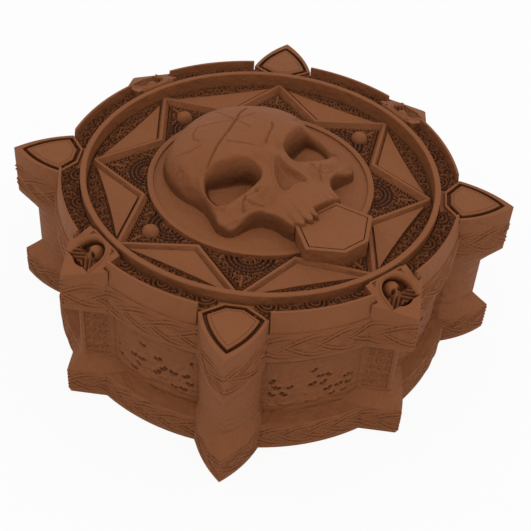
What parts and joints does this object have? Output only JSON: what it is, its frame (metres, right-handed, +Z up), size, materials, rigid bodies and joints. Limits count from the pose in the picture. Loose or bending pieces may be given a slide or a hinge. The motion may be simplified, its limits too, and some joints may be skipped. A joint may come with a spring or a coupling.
{
  "type": "dice storage chest",
  "caption": "Round lidded chest for dice: carved wall with corner columns, star lid with a carved skull, removable pocket tray inside.",
  "frame": {"origin": "middle of the underside, on the surface the chest stands on", "axes": "+Z up through the lid; the carved skull looks towards -Y, the front; pilasters lie on the X and Y axes and columns on the diagonals"},
  "size_m": [0.1896, 0.1896, 0.0877],
  "materials": {
    "carved_brown": "matte, printed layers",
    "recess_brown": "matte, darker in the hollows",
    "tray_brown": "matte, printed layers",
    "felt": "felt",
    "magnet": "nickel plated",
    "pin": "ground"
  },
  "bodies": {
    "chest": {"base_plinth": "carved_brown", "floor_plate": "tray_brown", "floor_felt": "felt", "drum_wall": "carved_brown", "rim_ring": "recess_brown", "tray_rest_ring": "tray_brown", "wall_magnets": "magnet", "locating_pins": "pin", "column_back_right": "carved_brown", "column_back_left": "carved_brown", "column_front_left": "carved_brown", "column_front_right": "carved_brown", "shield_back_right": "carved_brown", "shield_back_left": "carved_brown", "shield_front_left": "carved_brown", "shield_front_right": "carved_brown", "pilaster_right": "carved_brown", "pilaster_back": "carved_brown", "pilaster_left": "carved_brown", "pilaster_front": "carved_brown", "pilaster_block_right": "carved_brown", "pilaster_block_back": "carved_brown", "pilaster_block_left": "carved_brown", "pilaster_block_front": "carved_brown", "niche_head_right": "carved_brown", "niche_head_back": "carved_brown", "niche_head_left": "carved_brown", "niche_head_front": "carved_brown", "parapet_right_back": "carved_brown", "parapet_back_right": "carved_brown", "parapet_back_left": "carved_brown", "parapet_left_back": "carved_brown", "parapet_left_front": "carved_brown", "parapet_front_left": "carved_brown", "parapet_front_right": "carved_brown", "parapet_right_front": "carved_brown", "wall_panel_right_back": "carved_brown", "wall_panel_back_right": "carved_brown", "wall_panel_back_left": "carved_brown", "wall_panel_left_back": "carved_brown", "wall_panel_left_front": "carved_brown", "wall_panel_front_left": "carved_brown", "wall_panel_front_right": "carved_brown", "wall_panel_right_front": "carved_brown"},
    "lid": {"lid_base": "carved_brown", "lid_hoop": "carved_brown", "star_frame": "carved_brown", "star_panels": "carved_brown", "star_inlays": "recess_brown", "outer_bands": "recess_brown", "centre_disc": "carved_brown", "beads": "carved_brown", "carved_head": "carved_brown", "plaque_block": "carved_brown", "plaque_panel": "carved_brown", "lid_magnets": "magnet"},
    "tray": {"tray_floor": "tray_brown", "tray_ring": "tray_brown", "tray_hub": "tray_brown", "tray_dividers": "tray_brown"}
  },
  "joints": [
    {"name": "lid_lift", "type": "slide", "parent": "chest", "child": "lid", "axis": [0, 0, 1], "range_m": [0, 0.16]},
    {"name": "tray_lift", "type": "slide", "parent": "chest", "child": "tray", "axis": [0, 0, 1], "range_m": [0, 0.08]}
  ],
  "couplings": [
    {"joint": "tray_lift", "follows": "lid_lift", "ratio": 0.5}
  ]
}
